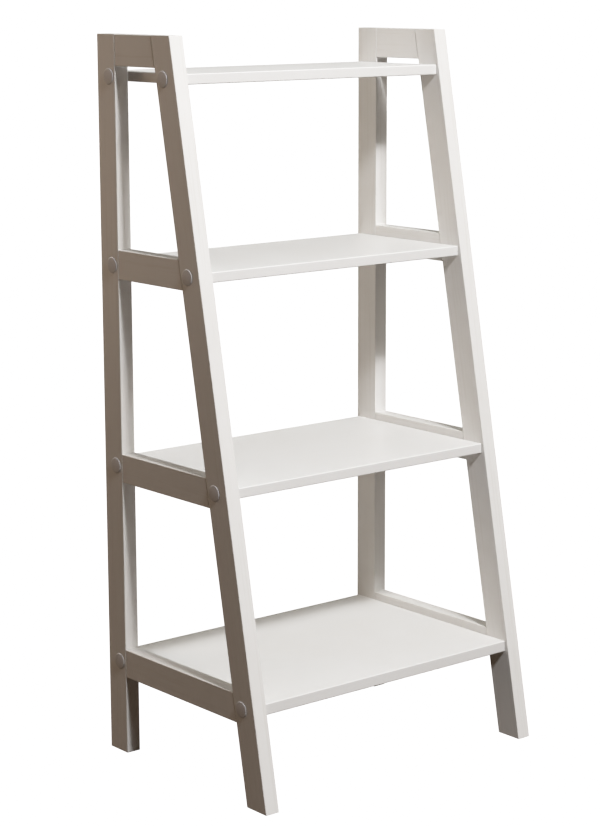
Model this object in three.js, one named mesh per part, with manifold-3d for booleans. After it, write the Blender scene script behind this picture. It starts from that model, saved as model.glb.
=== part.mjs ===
// Four-tier ladder shelf: two rigid side frames with a raked front leg, four
// boards between them, held by cap-covered screws.  Millimetres, +Z up, the
// front faces -Y, X runs along the boards.  The origin is on the floor, midway
// between the two sides and midway between the front toes and the rear legs.
import * as THREE from 'three';
import { mergeVertices } from 'three/addons/utils/BufferGeometryUtils.js';
import Module from 'manifold-3d';

const wasm = await Module();
wasm.setup();

// ---------------------------------------------------------------- dimensions
const HEIGHT = 1150;            // floor to top of the side frames
const OUTER = 278.5;            // middle to the outer face of a leg
const LEG_T = 25;               // leg thickness, across X
const INNER = OUTER - LEG_T;    // middle to the inner face of a leg
const LEG_W = 46.5;             // leg width, square to its own length
const REAR_Y = 203.5;           // back of the rear legs
const TOE_Y = -203.5;           // foremost point of the front legs, at the floor
const RAKE_RUN = 219;           // how far back the front leg leans over HEIGHT
const FRAME_R = 1.2;            // rounding of the long arrises of the frame
const SAW = 12;                 // waste sawn off to leave square, sharp ends
const GAP = 0.3;                // clearance wherever two pieces meet

const BLOCK_Z = 1101.5;         // underside of the top block
const RAIL_T = 24.4;            // rail and block thickness, a hair under the leg
const RAILS = [                 // underside and top of each side rail
  { tier: 2, z0: 773.5, z1: 819.5 },
  { tier: 3, z0: 449.5, z1: 495.5 },
  { tier: 4, z0: 128, z1: 174 },
];
const TENON_T = 8;              // stub tenons on rails and blocks
const TENON_H = 30;
const TENON_L = 9;

const BOARD_R = 2;              // rounding of the board arrises
const BOARD_REAR = 5;           // board edge in from the back of the rear legs
const BOARD_FRONT = 4;          // top front edge in from the front of the legs
const TIERS = [                 // top surface and thickness of each board
  { tier: 1, z: 1093.5, t: 16 },
  { tier: 2, z: 802.5, t: 16 },
  { tier: 3, z: 483, t: 16 },
  { tier: 4, z: 161, t: 18 },   // the deepest board is the thickest
];

const SCREW_IN = 30;            // screw line in from the front or back of a leg
const BORE_D = 18;              // counterbore for the screw head
const BORE_DEPTH = 6;
const HOLE_D = 7.4;             // clearance hole
const HEAD_D = 15.6;
const HEAD_T = 2.7;
const SHANK_D = 6.8;
const CORE_D = 5.4;
const SCREW_L = 50;             // under the head
const HOLE_IN = 33;             // blind hole in the end of a board
const CAP_D = 25;
const CAP_RISE = 1.3;
const SPIGOT_D = 17;
const SPIGOT_L = 2.4;

const RAKE = RAKE_RUN / HEIGHT;                       // run per unit of height
const LEG_H = LEG_W * Math.hypot(1, RAKE);            // raked leg, level width
const frontFace = (z) => TOE_Y + RAKE * z;            // front of the front leg
const rearFace = (z) => frontFace(z) + LEG_H;         // back of the front leg
const REAR_FRONT = REAR_Y - LEG_W;                    // front of the rear leg

// ------------------------------------------------------------------ materials
const paint = (tone) => new THREE.MeshStandardMaterial({ color: tone, roughness: 0.42, metalness: 0 });
const framePaint = () => paint(0xe9e7e3);
const boardPaint = () => paint(0xeceae8);
const capPlastic = () => new THREE.MeshStandardMaterial({ color: 0xe6e3df, roughness: 0.5, metalness: 0 });
const zincSteel = () => new THREE.MeshStandardMaterial({ color: 0xb9bcc0, roughness: 0.34, metalness: 0.95 });

// -------------------------------------------------------------- solid helpers
function solid(geometry) {
  const bare = new THREE.BufferGeometry();
  bare.setAttribute('position', geometry.getAttribute('position').clone());
  if (geometry.index) bare.setIndex(geometry.index.clone());
  const merged = mergeVertices(bare, 1e-4);
  const mesh = new wasm.Mesh({
    numProp: 3,
    vertProperties: new Float32Array(merged.getAttribute('position').array),
    triVerts: new Uint32Array(merged.index.array),
  });
  mesh.merge();
  return new wasm.Manifold(mesh);
}

function geometryOf(manifold) {
  const m = manifold.getMesh();
  const points = new Float32Array(m.vertProperties.length / m.numProp * 3);
  for (let i = 0; i < points.length / 3; i++) {
    for (let k = 0; k < 3; k++) points[3 * i + k] = m.vertProperties[i * m.numProp + k];
  }
  const g = new THREE.BufferGeometry();
  g.setAttribute('position', new THREE.BufferAttribute(points, 3));
  g.setIndex(new THREE.BufferAttribute(new Uint32Array(m.triVerts), 1));
  const flat = g.toNonIndexed();
  flat.computeVertexNormals();
  return flat;
}

// A bar drawn in side view as [y, z] corners and extruded across X, centred on
// x = 0, with its long arrises rounded.
function sideBar(corners, thickness, radius) {
  const shape = new THREE.Shape(corners.map(([y, z]) => new THREE.Vector2(y, z)));
  const g = new THREE.ExtrudeGeometry(shape, {
    depth: thickness - 2 * radius,
    bevelEnabled: true,
    bevelThickness: radius,
    bevelSize: radius,
    bevelOffset: -radius,
    bevelSegments: 3,
    steps: 1,
  });
  g.translate(0, 0, -(thickness - 2 * radius) / 2);
  // drawing plane (u, v) and depth w become (y, z) and x
  g.applyMatrix4(new THREE.Matrix4().set(0, 0, 1, 0, 1, 0, 0, 0, 0, 1, 0, 0, 0, 0, 0, 1));
  return solid(g);
}

function block(x0, x1, y0, y1, z0, z1) {
  const g = new THREE.BoxGeometry(x1 - x0, y1 - y0, z1 - z0);
  g.translate((x0 + x1) / 2, (y0 + y1) / 2, (z0 + z1) / 2);
  return solid(g);
}

// A plain prism from a side view of [y, z] corners, with no rounding.
function prism(corners, thickness) {
  const shape = new THREE.Shape(corners.map(([y, z]) => new THREE.Vector2(y, z)));
  const g = new THREE.ExtrudeGeometry(shape, { depth: thickness, bevelEnabled: false, steps: 1 });
  g.translate(0, 0, -thickness / 2);
  g.applyMatrix4(new THREE.Matrix4().set(0, 0, 1, 0, 1, 0, 0, 0, 0, 1, 0, 0, 0, 0, 0, 1));
  return solid(g);
}

// A round bar along X between two x positions.
function rod(x0, x1, diameter, y, z, sides) {
  const g = new THREE.CylinderGeometry(diameter / 2, diameter / 2, Math.abs(x1 - x0), sides);
  g.rotateZ(Math.PI / 2);
  g.translate((x0 + x1) / 2, y, z);
  return solid(g);
}

// --------------------------------------------------------------- side frames
const screwHeights = TIERS.map(({ z, t }) => z - t / 2);
const tenonSpans = [
  ...RAILS.map(({ z0, z1 }) => [z0, z1]),
  [BLOCK_Z, HEIGHT],
].map(([z0, z1]) => [(z0 + z1) / 2 - TENON_H / 2, (z0 + z1) / 2 + TENON_H / 2]);

// Counterbore and clearance hole through a leg for every board screw.
function drillLeg(leg, side, yAt) {
  const out = side * (LEG_T / 2);
  let drilled = leg;
  for (const z of screwHeights) {
    drilled = drilled
      .subtract(rod(out + side * 2, out - side * BORE_DEPTH, BORE_D, yAt(z), z, 24))
      .subtract(rod(out + side * 2, -out - side * 2, HOLE_D, yAt(z), z, 14));
  }
  return drilled;
}

// Upright rear leg; local origin at the floor on its back face.
function rearLeg(side) {
  let leg = sideBar(
    [[-LEG_W, -SAW], [0, -SAW], [0, HEIGHT + SAW], [-LEG_W, HEIGHT + SAW]],
    LEG_T, FRAME_R,
  ).intersect(block(-LEG_T, LEG_T, -2 * LEG_W, LEG_W, 0, HEIGHT));
  for (const [z0, z1] of tenonSpans) {
    leg = leg.subtract(block(
      -TENON_T / 2 - GAP, TENON_T / 2 + GAP,
      -LEG_W - 2, -LEG_W + TENON_L + GAP,
      z0 - GAP, z1 + GAP,
    ));
  }
  return geometryOf(drillLeg(leg, side, () => -SCREW_IN));
}

// Raked front leg, both ends cut level; local origin at the front toe.
function frontLeg(side) {
  const lean = (z) => RAKE * z;
  const top = HEIGHT + SAW;
  let leg = sideBar(
    [[lean(-SAW), -SAW], [LEG_H + lean(-SAW), -SAW], [LEG_H + lean(top), top], [lean(top), top]],
    LEG_T, FRAME_R,
  ).intersect(block(-LEG_T, LEG_T, -LEG_W, LEG_H + RAKE_RUN + LEG_W, 0, HEIGHT));
  for (const [z0, z1] of tenonSpans) {
    const mid = LEG_H + lean((z0 + z1) / 2);
    leg = leg.subtract(block(
      -TENON_T / 2 - GAP, TENON_T / 2 + GAP,
      mid - TENON_L - GAP, mid + 6,
      z0 - GAP, z1 + GAP,
    ));
  }
  return geometryOf(drillLeg(leg, side, (z) => lean(z) + SCREW_IN));
}

// Rail or top block: square rear end, raked front end, a stub tenon each end.
// Local origin at mid thickness, rear shoulder line, z of its underside.
function crossPiece(z0, z1) {
  const h = z1 - z0;
  const back = REAR_FRONT - GAP;
  const nose = (z) => rearFace(z) + GAP - back;
  let bar = sideBar([[nose(z0) - SAW, 0], [SAW, 0], [SAW, h], [nose(z1) - SAW, h]], RAIL_T, FRAME_R)
    .intersect(prism([[nose(z0 - SAW), -SAW], [0, -SAW], [0, h + SAW], [nose(z1 + SAW), h + SAW]], 2 * RAIL_T));
  const t0 = (h - TENON_H) / 2;
  const t1 = t0 + TENON_H;
  const mid = rearFace((z0 + z1) / 2) - back;
  bar = bar.add(block(-TENON_T / 2, TENON_T / 2, -6, GAP + TENON_L, t0, t1));
  bar = bar.add(block(-TENON_T / 2, TENON_T / 2, mid - TENON_L, mid + 8, t0, t1));
  return geometryOf(bar);
}

// -------------------------------------------------------------------- boards
// Shelf board, local origin at the centre of its underside rear edge.
function board(z, t) {
  const half = INNER - GAP;
  const rear = REAR_Y - BOARD_REAR;
  const depth = rear - (frontFace(z) + BOARD_FRONT);
  const shape = new THREE.Shape([
    new THREE.Vector2(-half, -depth), new THREE.Vector2(half, -depth),
    new THREE.Vector2(half, 0), new THREE.Vector2(-half, 0),
  ]);
  const g = new THREE.ExtrudeGeometry(shape, {
    depth: t - 2 * BOARD_R,
    bevelEnabled: true,
    bevelThickness: BOARD_R,
    bevelSize: BOARD_R,
    bevelOffset: -BOARD_R,
    bevelSegments: 3,
    steps: 1,
  });
  g.translate(0, 0, BOARD_R);
  let b = solid(g);
  const zc = z - t / 2;
  const ys = [REAR_Y - SCREW_IN - rear, frontFace(zc) + SCREW_IN - rear];
  for (const y of ys) {
    for (const s of [-1, 1]) {
      b = b.subtract(rod(s * (half + 2), s * (half - HOLE_IN), HOLE_D, y, t / 2, 14));
    }
  }
  return geometryOf(b);
}

// ------------------------------------------------------------------ hardware
// Wide-head connecting screw, head outwards along +Y before turning.
function screw() {
  const r = HEAD_D / 2;
  const s = SHANK_D / 2;
  const c = CORE_D / 2;
  const neck = LEG_T - BORE_DEPTH + GAP;
  const profile = [
    [0, -SCREW_L], [c * 0.35, -SCREW_L + 1], [c, -SCREW_L + 6],
    [c, -neck - 2.5], [s, -neck - 0.5], [s, 0],
    [r, 0], [r, HEAD_T - 0.8], [r - 0.8, HEAD_T], [0, HEAD_T],
  ].map(([x, y]) => new THREE.Vector2(x, y));
  const body = solid(new THREE.LatheGeometry(profile, 14));
  // hexagon socket for the driver key
  const hex = new THREE.CylinderGeometry(2.3, 2.3, 6, 6);
  hex.translate(0, HEAD_T, 0);
  return geometryOf(body.subtract(solid(hex)));
}

// Low-domed snap-in cover cap with a short spigot that drops into the
// counterbore: a rounded rim, then a top that is nearly flat.
function cap() {
  const r = CAP_D / 2;
  const profile = [
    [0, -SPIGOT_L], [SPIGOT_D / 2 - 0.6, -SPIGOT_L], [SPIGOT_D / 2, -SPIGOT_L + 0.6],
    [SPIGOT_D / 2, GAP], [r - 0.2, GAP], [r, GAP + 0.2], [r - 0.12, GAP + CAP_RISE * 0.36],
    [r - 0.55, GAP + CAP_RISE * 0.58], [r - 1.4, GAP + CAP_RISE * 0.74],
    [r * 0.76, GAP + CAP_RISE * 0.86], [r * 0.48, GAP + CAP_RISE * 0.96],
    [r * 0.2, GAP + CAP_RISE * 0.995], [0, GAP + CAP_RISE],
  ].map(([x, y]) => new THREE.Vector2(x, y));
  return geometryOf(solid(new THREE.LatheGeometry(profile, 24)));
}

// ------------------------------------------------------------------ assembly
function place(name, geometry, material, x, y, z) {
  const m = new THREE.Mesh(geometry, material);
  m.name = name;
  m.position.set(x, y, z);
  return m;
}

const shelf = new THREE.Group();
shelf.name = 'ladder_shelf';

for (const [hand, side] of [['left', -1], ['right', 1]]) {
  const frame = new THREE.Group();
  frame.name = `${hand}_side_frame`;
  frame.position.set(side * (OUTER - LEG_T / 2), 0, 0);
  frame.add(place(`${hand}_rear_leg`, rearLeg(side), framePaint(), 0, REAR_Y, 0));
  frame.add(place(`${hand}_front_leg`, frontLeg(side), framePaint(), 0, TOE_Y, 0));
  frame.add(place(`${hand}_top_block`, crossPiece(BLOCK_Z, HEIGHT), framePaint(), 0, REAR_FRONT - GAP, BLOCK_Z));
  for (const { tier, z0, z1 } of RAILS) {
    frame.add(place(`${hand}_rail_${tier}`, crossPiece(z0, z1), framePaint(), 0, REAR_FRONT - GAP, z0));
  }
  shelf.add(frame);
}

const boards = new THREE.Group();
boards.name = 'shelf_boards';
for (const { tier, z, t } of TIERS) {
  boards.add(place(`shelf_${tier}`, board(z, t), boardPaint(), 0, REAR_Y - BOARD_REAR, z - t));
}
shelf.add(boards);

const fixings = new THREE.Group();
fixings.name = 'fixings';
for (const [hand, side] of [['left', -1], ['right', 1]]) {
  for (const { tier, z, t } of TIERS) {
    const zc = z - t / 2;
    for (const [end, y] of [['rear', REAR_Y - SCREW_IN], ['front', frontFace(zc) + SCREW_IN]]) {
      const s = place(`screw_${hand}_${end}_${tier}`, screw(), zincSteel(),
        side * (OUTER - BORE_DEPTH + GAP), y, zc);
      s.rotation.z = -side * Math.PI / 2;
      fixings.add(s);
      const c = place(`cap_${hand}_${end}_${tier}`, cap(), capPlastic(), side * OUTER, y, zc);
      c.rotation.z = -side * Math.PI / 2;
      fixings.add(c);
    }
  }
}
shelf.add(fixings);

export default shelf;
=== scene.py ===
import math

import bmesh
import bpy
from mathutils import Matrix, Vector


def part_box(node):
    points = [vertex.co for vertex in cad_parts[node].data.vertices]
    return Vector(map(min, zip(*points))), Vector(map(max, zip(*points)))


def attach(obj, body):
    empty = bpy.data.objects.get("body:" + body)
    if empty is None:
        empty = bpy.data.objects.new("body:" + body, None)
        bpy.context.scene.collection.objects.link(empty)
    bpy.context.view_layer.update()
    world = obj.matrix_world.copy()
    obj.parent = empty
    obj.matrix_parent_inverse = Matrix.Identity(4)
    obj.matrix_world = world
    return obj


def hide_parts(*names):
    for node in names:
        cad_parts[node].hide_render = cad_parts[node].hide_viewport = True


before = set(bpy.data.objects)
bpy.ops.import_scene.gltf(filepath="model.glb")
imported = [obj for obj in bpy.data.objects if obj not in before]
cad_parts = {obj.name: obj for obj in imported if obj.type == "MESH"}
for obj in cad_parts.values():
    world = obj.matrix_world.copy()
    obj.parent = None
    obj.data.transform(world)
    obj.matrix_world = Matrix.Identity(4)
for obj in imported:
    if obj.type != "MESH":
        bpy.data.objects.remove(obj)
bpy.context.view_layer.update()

# ------------------------------------------------------------------ dimensions
RAKE_RUN = 0.219          # how far the front leg leans over the full height
ARRIS = 0.0012            # rounding of the frame arrises
CUT = 0.0008              # easing of the sawn ends
JOINT = 0.0007            # easing where a rail meets a leg
BOARD_ARRIS = 0.0016
CAP_SKIRT = 0.0003        # the cap stands this far off the leg


# ---------------------------------------------------------------- mesh helpers
def evaluated(obj):
    """The object's mesh with its modifiers worked in."""
    dg = bpy.context.evaluated_depsgraph_get()
    mesh = bpy.data.meshes.new_from_object(obj.evaluated_get(dg))
    old = obj.data
    obj.modifiers.clear()
    obj.data = mesh
    bpy.data.meshes.remove(old)
    mesh.name = obj.name
    return mesh


def soft_normals(mesh):
    """Flat faces stay flat and the rounded edges blend between them: every
    vertex normal is the sum of its face normals weighted by area squared."""
    total = [Vector((0, 0, 0)) for _ in mesh.vertices]
    for p in mesh.polygons:
        p.use_smooth = True
        w = p.normal * (p.area * p.area)
        for v in p.vertices:
            total[v] += w
    mesh.normals_split_custom_set_from_vertices(
        [t.normalized() if t.length > 0 else Vector((0, 0, 1)) for t in total]
    )


def new_object(name, mesh):
    obj = bpy.data.objects.new(name, mesh)
    bpy.context.scene.collection.objects.link(obj)
    return obj


def finish_piece(obj, node, material, along, across, origin, seed, planes):
    """Grain coordinates, arris mask, material and frame bookkeeping."""
    mesh = obj.data
    third = along.cross(across)
    mesh.attributes.new("grain", "FLOAT_VECTOR", "POINT")
    mesh.attributes.new("arris", "FLOAT", "POINT")
    shift = Vector((seed * 3.17 % 7.0, seed * 1.93 % 5.0, seed * 2.41 % 3.0))
    g, e = [], []
    for v in mesh.vertices:
        d = v.co - origin
        g.extend(Vector((d.dot(along), d.dot(across), d.dot(third))) + shift)
        # how many of the member's outer planes this vertex is near but not on
        near = 0.0
        gaps = sorted(abs(n.dot(v.co) - k) for n, k in planes)
        if gaps[0] > 1e-6:
            near = min(1.0, gaps[0] / 0.0006)
        e.append(near)
    mesh.attributes["grain"].data.foreach_set("vector", g)
    mesh.attributes["arris"].data.foreach_set("value", e)
    soft_normals(mesh)
    mesh.materials.clear()
    mesh.materials.append(material)
    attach(obj, "root")
    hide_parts(node)
    return obj


def member(node, outline, x0, x1, roundings, cut, material, along, seed, segments=5):
    """A bar drawn in side view as four [y, z] corners between two x positions.
    The edges beside its x faces take one rounding each, in the outline's order;
    the edges that run across the bar take `cut`."""
    bm = bmesh.new()
    side = []
    for x in (x0, x1):
        side.append([bm.verts.new((x, y, z)) for y, z in outline])
    bm.faces.new(side[0])
    bm.faces.new(list(reversed(side[1])))
    n = len(outline)
    for i in range(n):
        bm.faces.new((side[0][(i + 1) % n], side[0][i], side[1][i], side[1][(i + 1) % n]))
    bmesh.ops.recalc_face_normals(bm, faces=bm.faces)
    weight = bm.edges.layers.float.new("bevel_weight_edge")
    rounding = max(roundings)
    for row in side:
        for i in range(n):
            e = bm.edges.get((row[i], row[(i + 1) % n]))
            e[weight] = roundings[i] / rounding
    for i in range(n):
        bm.edges.get((side[0][i], side[1][i]))[weight] = cut / rounding
    planes = []
    for f in bm.faces:
        f.normal_update()
        planes.append((f.normal.copy(), f.normal.dot(f.verts[0].co)))
    mesh = bpy.data.meshes.new(node + "_painted")
    bm.to_mesh(mesh)
    bm.free()
    obj = new_object(node + "_painted", mesh)
    bevel = obj.modifiers.new("arris", "BEVEL")
    bevel.limit_method = "WEIGHT"
    bevel.width = rounding
    bevel.segments = segments
    bevel.profile = 0.5
    bevel.use_clamp_overlap = True
    evaluated(obj)
    origin = Vector(((x0 + x1) / 2, outline[0][0], outline[0][1]))
    across = Vector((1, 0, 0)) if abs(along.x) < 0.5 else Vector((0, 1, 0))
    return finish_piece(obj, node, material, along, across, origin, seed, planes)


def lathe(name, profile, steps):
    """A closed body turned about +X from [radius, x] points, first and last on
    the axis."""
    bm = bmesh.new()
    rings = []
    for r, x in profile:
        if r < 1e-9:
            rings.append([bm.verts.new((x, 0, 0))])
        else:
            rings.append([
                bm.verts.new((x, r * math.cos(t), r * math.sin(t)))
                for t in (2 * math.pi * i / steps for i in range(steps))
            ])
    for a, b in zip(rings, rings[1:]):
        for i in range(steps):
            j = (i + 1) % steps
            if len(a) == 1:
                bm.faces.new((a[0], b[i], b[j]))
            elif len(b) == 1:
                bm.faces.new((a[i], b[0], a[j]))
            else:
                bm.faces.new((a[i], b[i], b[j], a[j]))
    bmesh.ops.recalc_face_normals(bm, faces=bm.faces)
    mesh = bpy.data.meshes.new(name)
    bm.to_mesh(mesh)
    bm.free()
    return mesh


# ------------------------------------------------------------------- materials
class Nodes:
    """Short calls for building a node tree."""

    def __init__(self, name):
        self.material = bpy.data.materials.new(name)
        self.material.use_nodes = True
        self.tree = self.material.node_tree
        self.tree.nodes.clear()
        self.out = self.add("ShaderNodeOutputMaterial")
        self.shader = self.add("ShaderNodeBsdfPrincipled")
        self.link(self.shader.outputs["BSDF"], self.out.inputs["Surface"])

    def add(self, kind, **values):
        node = self.tree.nodes.new(kind)
        for k, v in values.items():
            setattr(node, k, v)
        return node

    def link(self, a, b):
        self.tree.links.new(a, b)

    def put(self, socket, value):
        if isinstance(value, bpy.types.NodeSocket):
            self.link(value, socket)
        else:
            socket.default_value = value

    def math(self, op, a, b=0.0, c=0.0, clamp=False):
        n = self.add("ShaderNodeMath", operation=op, use_clamp=clamp)
        for i, v in enumerate((a, b, c)):
            self.put(n.inputs[i], v)
        return n.outputs[0]

    def vector(self, op, a, b):
        n = self.add("ShaderNodeVectorMath", operation=op)
        self.put(n.inputs[0], a)
        self.put(n.inputs[1], b)
        return n.outputs[0]

    def noise(self, coords, scale, detail=2.0, rough=0.5, distortion=0.0):
        n = self.add("ShaderNodeTexNoise")
        self.put(n.inputs["Vector"], coords)
        n.inputs["Scale"].default_value = scale
        n.inputs["Detail"].default_value = detail
        n.inputs["Roughness"].default_value = rough
        n.inputs["Distortion"].default_value = distortion
        return n.outputs["Fac"]

    def remap(self, value, a0, a1, b0, b1):
        n = self.add("ShaderNodeMapRange")
        self.put(n.inputs[0], value)
        for i, v in enumerate((a0, a1, b0, b1)):
            n.inputs[i + 1].default_value = v
        return n.outputs[0]

    def mix(self, factor, a, b):
        n = self.add("ShaderNodeMix", data_type="RGBA")
        self.put(n.inputs[0], factor)
        self.put(n.inputs[6], a)
        self.put(n.inputs[7], b)
        return n.outputs[2]

    def bump(self, height, distance=1.0, normal=None):
        n = self.add("ShaderNodeBump")
        n.inputs["Strength"].default_value = 1.0
        n.inputs["Distance"].default_value = distance
        self.link(height, n.inputs["Height"])
        if normal is not None:
            self.link(normal, n.inputs["Normal"])
        return n.outputs["Normal"]


def paint(name, colour, arris_highlight_tone, grain_depth, peel_depth, peel_scale, roughness, grain_tint):
    """Sprayed satin paint.  The second colour is a lighter cream tone painted on the arrises:
    a painted highlight along the rounded edges, broken up like rubbed paint; `grain_depth` and `peel_depth` are
    relief in metres."""
    m = Nodes(name)
    coords = m.add("ShaderNodeAttribute", attribute_name="grain").outputs["Vector"]
    arris = m.add("ShaderNodeAttribute", attribute_name="arris").outputs["Fac"]

    # slow wander so that the grain lines aren't ruled
    wander = m.noise(coords, 5.0, 2.0, 0.5)
    wander = m.remap(wander, 0.0, 1.0, -0.006, 0.006)
    offset = m.add("ShaderNodeCombineXYZ")
    m.link(wander, offset.inputs[1])
    m.link(wander, offset.inputs[2])
    bent = m.vector("ADD", coords, offset.outputs[0])
    long_grain = m.noise(m.vector("MULTIPLY", bent, (3.0, 190.0, 190.0)), 1.0, 5.0, 0.62)
    fine_grain = m.noise(m.vector("MULTIPLY", bent, (14.0, 900.0, 900.0)), 1.0, 3.0, 0.6)
    peel = m.noise(coords, peel_scale, 2.5, 0.55)
    cloud = m.noise(coords, 7.0, 3.0, 0.55)
    patch = m.noise(coords, 42.0, 4.0, 0.6)
    nib_cell = m.add("ShaderNodeTexVoronoi", feature="F1")
    m.link(coords, nib_cell.inputs["Vector"])
    nib_cell.inputs["Scale"].default_value = 55.0
    nib = m.remap(nib_cell.outputs["Distance"], 0.018, 0.045, 1.0, 0.0)

    # colour: two close whites, darker in the pores, lighter and warmer on the arrises as a painted highlight
    # broken up like rubbed paint
    pore = m.remap(long_grain, 0.30, 0.46, 1.0, 0.0)
    tone = m.remap(m.math("ADD", m.math("MULTIPLY", cloud, 0.6), m.math("MULTIPLY", patch, 0.4)),
                   0.32, 0.68, 0.0, 1.0)
    light = tuple(colour) + (1.0,)
    deep = (colour[0] * 0.972, colour[1] * 0.968, colour[2] * 0.958, 1.0)
    base = m.mix(tone, deep, light)
    grained = m.mix(m.math("MULTIPLY", pore, grain_tint), base,
                    (colour[0] * 0.80, colour[1] * 0.775, colour[2] * 0.735, 1.0))
    # painted highlight with wear: a lighter cream tint on the rounded arrises, in noisy patches like rubbed
    # paint
    arris_highlight_and_wear = m.math("MULTIPLY", arris, m.remap(m.noise(coords, 95.0, 4.0, 0.65), 0.46, 0.66, 0.10, 0.75))
    m.link(m.mix(arris_highlight_and_wear, grained, tuple(arris_highlight_tone) + (1.0,)), m.shader.inputs["Base Color"])

    # satin sheen that wanders a little and is rubbed smoother on the arrises
    sheen = m.remap(m.math("ADD", m.math("MULTIPLY", patch, 0.5), m.math("MULTIPLY", cloud, 0.5)),
                    0.3, 0.7, roughness - 0.05, roughness + 0.06)
    sheen = m.math("ADD", sheen, m.math("MULTIPLY", pore, 0.08 * grain_tint))
    m.link(m.math("SUBTRACT", sheen, m.math("MULTIPLY", arris_highlight_and_wear, 0.06)), m.shader.inputs["Roughness"])

    # relief: pores, brushed-out grain, orange peel, the odd dust nib
    h = m.math("MULTIPLY", long_grain, grain_depth)
    h = m.math("MULTIPLY_ADD", fine_grain, grain_depth * 0.35, h)
    h = m.math("MULTIPLY_ADD", peel, peel_depth, h)
    h = m.math("MULTIPLY_ADD", nib, 0.00003, h)
    m.link(m.bump(h), m.shader.inputs["Normal"])
    m.shader.inputs["IOR"].default_value = 1.48
    m.shader.inputs["Specular IOR Level"].default_value = 0.42
    return m.material


def cap_plastic():
    m = Nodes("cap_plastic")
    coords = m.add("ShaderNodeAttribute", attribute_name="grain").outputs["Vector"]
    spark = m.noise(coords, 2600.0, 2.0, 0.5)
    flow = m.noise(m.vector("MULTIPLY", coords, (40.0, 160.0, 160.0)), 1.0, 3.0, 0.55)
    scuff = m.noise(coords, 330.0, 5.0, 0.7)
    tone = m.remap(flow, 0.3, 0.7, 0.0, 1.0)
    m.link(m.mix(tone, (0.650, 0.642, 0.655, 1), (0.685, 0.677, 0.690, 1)), m.shader.inputs["Base Color"])
    m.link(m.remap(scuff, 0.35, 0.7, 0.42, 0.60), m.shader.inputs["Roughness"])
    h = m.math("MULTIPLY", spark, 0.000012)
    h = m.math("MULTIPLY_ADD", scuff, 0.00002, h)
    m.link(m.bump(h), m.shader.inputs["Normal"])
    m.shader.inputs["IOR"].default_value = 1.49
    m.shader.inputs["Specular IOR Level"].default_value = 0.5
    return m.material


def zinc_steel():
    m = Nodes("screw_steel")
    place = m.add("ShaderNodeTexCoord").outputs["Object"]
    turned = m.noise(m.vector("MULTIPLY", place, (2600.0, 260.0, 260.0)), 1.0, 3.0, 0.6)
    bloom = m.noise(place, 420.0, 4.0, 0.6)
    m.link(m.mix(m.remap(bloom, 0.35, 0.7, 0.0, 1.0), (0.52, 0.53, 0.55, 1), (0.66, 0.66, 0.65, 1)),
           m.shader.inputs["Base Color"])
    m.link(m.remap(turned, 0.3, 0.7, 0.24, 0.44), m.shader.inputs["Roughness"])
    m.link(m.bump(m.math("MULTIPLY", turned, 0.00002)), m.shader.inputs["Normal"])
    m.shader.inputs["Metallic"].default_value = 1.0
    return m.material


frame_paint = paint("frame_paint", (0.815, 0.806, 0.795), (0.860, 0.838, 0.800),
                    grain_depth=0.000085, peel_depth=0.000028, peel_scale=820.0,
                    roughness=0.40, grain_tint=0.30)
board_paint = paint("board_paint", (0.822, 0.818, 0.814), (0.862, 0.850, 0.830),
                    grain_depth=0.000012, peel_depth=0.000024, peel_scale=950.0,
                    roughness=0.36, grain_tint=0.04)
cap_material = cap_plastic()
steel = zinc_steel()


# ----------------------------------------------------------------- side frames
leg_lo, leg_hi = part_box("left_front_leg")
height = leg_hi.z
rake = RAKE_RUN / height
toe = leg_lo.y
leg_level = (leg_hi.y - leg_lo.y) - RAKE_RUN        # level width of the raked leg
lean = Vector((0, rake, 1)).normalized()


def front_face(z):
    return toe + rake * z


def rear_face(z):
    return front_face(z) + leg_level


seed = 1
for hand in ("left", "right"):
    lo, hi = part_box(f"{hand}_rear_leg")
    member(f"{hand}_rear_leg",
           [(lo.y, lo.z), (hi.y, lo.z), (hi.y, hi.z), (lo.y, hi.z)],
           lo.x, hi.x, (CUT, ARRIS, CUT, ARRIS), CUT, frame_paint, Vector((0, 0, 1)), seed)
    seed += 1
    lo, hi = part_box(f"{hand}_front_leg")
    member(f"{hand}_front_leg",
           [(front_face(0), 0), (rear_face(0), 0), (rear_face(height), height), (front_face(height), height)],
           lo.x, hi.x, (CUT, ARRIS, CUT, ARRIS), CUT, frame_paint, lean, seed)
    seed += 1
    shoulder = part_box(f"{hand}_rear_leg")[0].y - 0.0003     # rear shoulder line
    for part in ("top_block", "rail_2", "rail_3", "rail_4"):
        lo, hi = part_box(f"{hand}_{part}")
        z0, z1 = lo.z, hi.z
        member(f"{hand}_{part}",
               [(rear_face(z0) + 0.0003, z0), (shoulder, z0), (shoulder, z1), (rear_face(z1) + 0.0003, z1)],
               lo.x, hi.x, (ARRIS, JOINT, ARRIS, JOINT), JOINT, frame_paint,
               Vector((0, 1, 0)), seed)
        seed += 1

# ---------------------------------------------------------------------- boards
for tier in (1, 2, 3, 4):
    lo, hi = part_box(f"shelf_{tier}")
    member(f"shelf_{tier}",
           [(lo.y, lo.z), (hi.y, lo.z), (hi.y, hi.z), (lo.y, hi.z)],
           lo.x, hi.x, (BOARD_ARRIS,) * 4, BOARD_ARRIS, board_paint,
           Vector((1, 0, 0)), seed, segments=4)
    seed += 1

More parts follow.
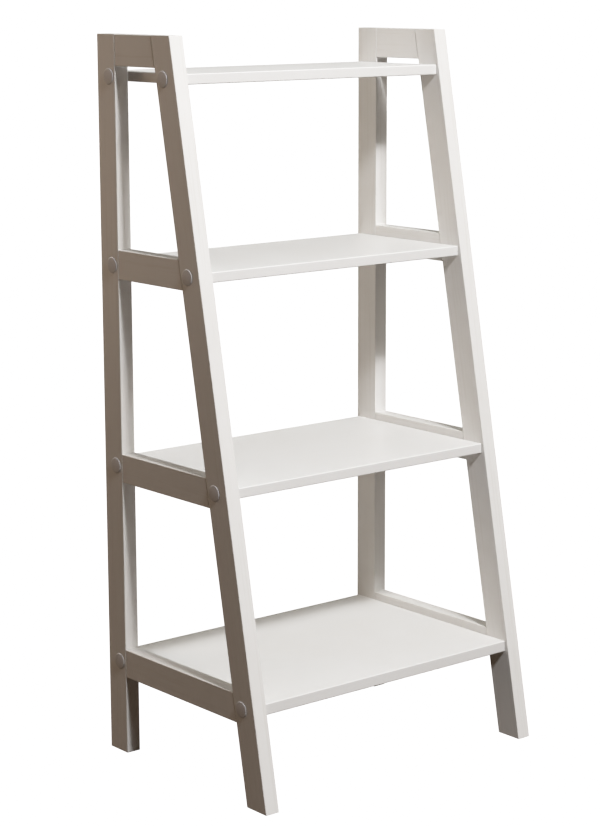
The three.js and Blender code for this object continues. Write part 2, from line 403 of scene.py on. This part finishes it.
# ------------------------------------------------------------------ cover caps
for hand, side in (("left", -1), ("right", 1)):
    for tier in (1, 2, 3, 4):
        for end in ("rear", "front"):
            node = f"cap_{hand}_{end}_{tier}"
            lo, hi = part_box(node)
            radius = (hi.z - lo.z) / 2
            total = hi.x - lo.x
            spigot_r = radius * 0.68
            base = 0.0024 + CAP_SKIRT
            rise = total - base                             # top of the dome off the skirt
            profile = [(0.0, 0.0), (spigot_r - 0.0006, 0.0), (spigot_r - 0.0001, 0.0002),
                       (spigot_r, 0.0007), (spigot_r, base),
                       (radius - 0.0002, base), (radius, base + 0.0002)]
            steps = 8
            for i in range(1, steps + 1):                   # rounded rim
                t = math.pi / 2 * i / steps
                profile.append((radius - 0.0013 * (1 - math.cos(t)),
                                base + 0.0002 + (rise * 0.72 - 0.0002) * math.sin(t)))
            inner = radius - 0.0013
            for i in range(1, steps + 1):                   # nearly flat crown
                r = inner * (1 - i / steps)
                profile.append((r, base + rise * (0.72 + 0.28 * (1 - (r / inner) ** 2))))
            mesh = lathe(node + "_moulded", profile, 56)
            turn = Matrix.Rotation(math.pi, 4, "Z") if side < 0 else Matrix.Identity(4)
            start = hi.x if side < 0 else lo.x
            mesh.transform(Matrix.Translation((start, (lo.y + hi.y) / 2, (lo.z + hi.z) / 2)) @ turn)
            obj = new_object(node + "_moulded", mesh)
            mesh.attributes.new("grain", "FLOAT_VECTOR", "POINT")
            centre = Vector((start, (lo.y + hi.y) / 2, (lo.z + hi.z) / 2))
            mesh.attributes["grain"].data.foreach_set("vector", [
                c for v in mesh.vertices
                for c in (v.co - centre + Vector((seed * 0.37, seed * 0.21, 0)))
            ])
            seed += 1
            soft_normals(mesh)
            mesh.materials.append(cap_material)
            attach(obj, "root")
            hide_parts(node)

# -------------------------------------------------------------- hidden screws
for name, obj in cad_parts.items():
    if name.startswith("screw_"):
        for s in obj.material_slots:
            s.material = steel
        ease = obj.modifiers.new("ease", "BEVEL")
        ease.width = 0.00015
        ease.segments = 2
        ease.limit_method = "ANGLE"
        ease.angle_limit = math.radians(40)

# ----------------------------------------------------------------------- stage
def stage_floor():
    size = 14.0
    bm = bmesh.new()
    bmesh.ops.create_grid(bm, x_segments=8, y_segments=8, size=size)
    mesh = bpy.data.meshes.new("studio_floor")
    bm.to_mesh(mesh)
    bm.free()
    obj = new_object("studio_floor", mesh)
    obj.location = (0, 0, -0.0004)
    m = Nodes("floor_pale")
    t = m.tree
    speckle = m.noise(m.add("ShaderNodeTexCoord").outputs["Object"], 1.3, 3.0, 0.5)
    m.link(m.mix(speckle, (0.072, 0.053, 0.040, 1), (0.084, 0.063, 0.048, 1)), m.shader.inputs["Base Color"])
    m.shader.inputs["Roughness"].default_value = 0.9
    m.shader.inputs["Specular IOR Level"].default_value = 0.0
    glow = m.add("ShaderNodeEmission")
    glow.inputs["Color"].default_value = (1, 1, 1, 1)
    glow.inputs["Strength"].default_value = 1.62
    both = m.add("ShaderNodeAddShader")
    m.link(m.shader.outputs["BSDF"], both.inputs[0])
    m.link(glow.outputs[0], both.inputs[1])
    seen = m.add("ShaderNodeLightPath")
    pick = m.add("ShaderNodeMixShader")
    m.link(seen.outputs["Is Camera Ray"], pick.inputs[0])
    m.link(m.shader.outputs["BSDF"], pick.inputs[1])
    m.link(both.outputs[0], pick.inputs[2])
    m.link(pick.outputs[0], m.out.inputs["Surface"])
    mesh.materials.append(m.material)
    return obj


stage_floor()

# ---------------------------------------------------------------------- lights
# name, place, aimed at, width, height, power in watts, colour
LIGHTS = [
    ("key_point", (-0.45, -2.6, 3.3), (0, 0, 0.55), 0.18, 0.18, 60.9, (0.989, 0.99, 1.0)),
    ("key_high", (-0.25, -3.4, 4.2), (0, 0, 0.55), 0.7, 0.7, 127.4, (0.958, 0.977, 1.0)),
    ("key_left", (-0.45, -2.6, 3.3), (0, 0, 0.55), 0.7, 0.7, 33.5, (1.0, 0.974, 0.962)),
    ("fill_front_right", (0.7, -3.0, 3.3), (0, 0, 0.55), 0.7, 0.7, 14.4, (1.0, 0.947, 0.822)),
    ("fill_top_right", (1.6, 0.0, 2.8), (0, 0, 0.55), 1.5, 1.5, 3.6, (0.942, 1.0, 0.935)),
    ("fill_top", (0.1, 0.0, 3.0), (0, 0, 0.55), 1.2, 1.2, 6.8, (0.951, 0.976, 1.0)),
    ("wash_back_left", (-1.4, 2.4, 1.2), (0, 0, 0.55), 1.6, 2, 17.9, (1.0, 0.75, 0.557)),
    ("wash_back_middle", (-0.25, 1.6, 1.0), (0.1, 0, 0.6), 0.4, 1.6, 5.6, (0.874, 1.0, 0.953)),
]
# room light by direction: +X, -X, +Y, -Y, +Z, -Z
ROOM = [
    (0.798, 0.764, 0.696), (0.055, 0.036, 0.022),
    (0.06, 0.055, 0.048), (0.085, 0.048, 0.02),
    (0.03, 0.028, 0.026), (0, 0, 0),
]

for name, place, aim, w, h, power, colour in LIGHTS:
    data = bpy.data.lights.new(name, "AREA")
    data.shape = "RECTANGLE"
    data.size, data.size_y = w, h
    data.energy = power
    data.color = colour
    lamp = bpy.data.objects.new(name, data)
    bpy.context.scene.collection.objects.link(lamp)
    lamp.location = place
    lamp.rotation_euler = (Vector(aim) - Vector(place)).to_track_quat("-Z", "Y").to_euler()
    lamp.visible_camera = False


def room_light():
    world = bpy.data.worlds.new("studio_room")
    bpy.context.scene.world = world
    world.use_nodes = True
    t = world.node_tree
    t.nodes.clear()
    out = t.nodes.new("ShaderNodeOutputWorld")
    coords = t.nodes.new("ShaderNodeTexCoord").outputs["Generated"]
    total = None
    for axis, colour in zip(((1, 0, 0), (-1, 0, 0), (0, 1, 0), (0, -1, 0), (0, 0, 1), (0, 0, -1)), ROOM):
        dot = t.nodes.new("ShaderNodeVectorMath")
        dot.operation = "DOT_PRODUCT"
        t.links.new(coords, dot.inputs[0])
        dot.inputs[1].default_value = axis
        lobe = t.nodes.new("ShaderNodeMath")
        lobe.operation = "MAXIMUM"
        t.links.new(dot.outputs["Value"], lobe.inputs[0])
        lobe.inputs[1].default_value = 0.0
        square = t.nodes.new("ShaderNodeMath")
        square.operation = "POWER"
        t.links.new(lobe.outputs[0], square.inputs[0])
        square.inputs[1].default_value = 2.0
        scale = t.nodes.new("ShaderNodeVectorMath")
        scale.operation = "SCALE"
        scale.inputs[0].default_value = colour
        t.links.new(square.outputs[0], scale.inputs["Scale"])
        if total is None:
            total = scale.outputs[0]
        else:
            add = t.nodes.new("ShaderNodeVectorMath")
            add.operation = "ADD"
            t.links.new(total, add.inputs[0])
            t.links.new(scale.outputs[0], add.inputs[1])
            total = add.outputs[0]
    room = t.nodes.new("ShaderNodeBackground")
    t.links.new(total, room.inputs["Color"])
    white = t.nodes.new("ShaderNodeBackground")
    white.inputs["Color"].default_value = (1, 1, 1, 1)
    white.inputs["Strength"].default_value = 1.65
    seen = t.nodes.new("ShaderNodeLightPath")
    pick = t.nodes.new("ShaderNodeMixShader")
    t.links.new(seen.outputs["Is Camera Ray"], pick.inputs[0])
    t.links.new(room.outputs[0], pick.inputs[1])
    t.links.new(white.outputs[0], pick.inputs[2])
    t.links.new(pick.outputs[0], out.inputs["Surface"])


room_light()


def tone_curve(knee=0.35, white=1.6):
    """Straight below the knee, then a soft shoulder that reaches paper white."""
    view = bpy.context.scene.view_settings
    view.view_transform = "Standard"
    view.look = "None"
    view.use_curve_mapping = True
    mapping = view.curve_mapping
    mapping.white_level = (white, white, white)
    mapping.use_clip = False
    curve = mapping.curves[3]
    power = (white - knee) / (1.0 - knee)
    for x in (0.1, 0.2, 0.28, 0.35, 0.42, 0.5, 0.58, 0.66, 0.75, 0.84, 0.93, 1.02, 1.12, 1.22, 1.32, 1.42, 1.52):
        y = x if x < knee else 1.0 - (1.0 - knee) * ((white - x) / (white - knee)) ** power
        curve.points.new(x / white, y)
    curve.points[len(curve.points) - 1].location = (1.0, 1.0)
    mapping.update()


tone_curve()

# ---------------------------------------------------------------------- camera
yaw, pitch, roll = math.radians(39.4117), math.radians(-11.1583), math.radians(-0.1893)
forward = Vector((math.sin(yaw) * math.cos(pitch), math.cos(yaw) * math.cos(pitch), math.sin(pitch)))
right = Vector((math.cos(yaw), -math.sin(yaw), 0))
up = right.cross(forward)
r2 = right * math.cos(roll) + up * math.sin(roll)
u2 = up * math.cos(roll) - right * math.sin(roll)
camera = bpy.data.objects.new("camera", bpy.data.cameras.new("camera"))
bpy.context.scene.collection.objects.link(camera)
turn = Matrix((r2, u2, -forward)).transposed().to_4x4()
camera.matrix_world = Matrix.Translation((-2.2405, -2.6736, 1.2382)) @ turn
camera.data.sensor_fit = "AUTO"
camera.data.sensor_width = 36.0
camera.data.lens = 2224.55 * 36.0 / 826
camera.data.clip_start, camera.data.clip_end = 0.05, 100.0
camera.data.dof.use_dof = False
bpy.context.scene.camera = camera
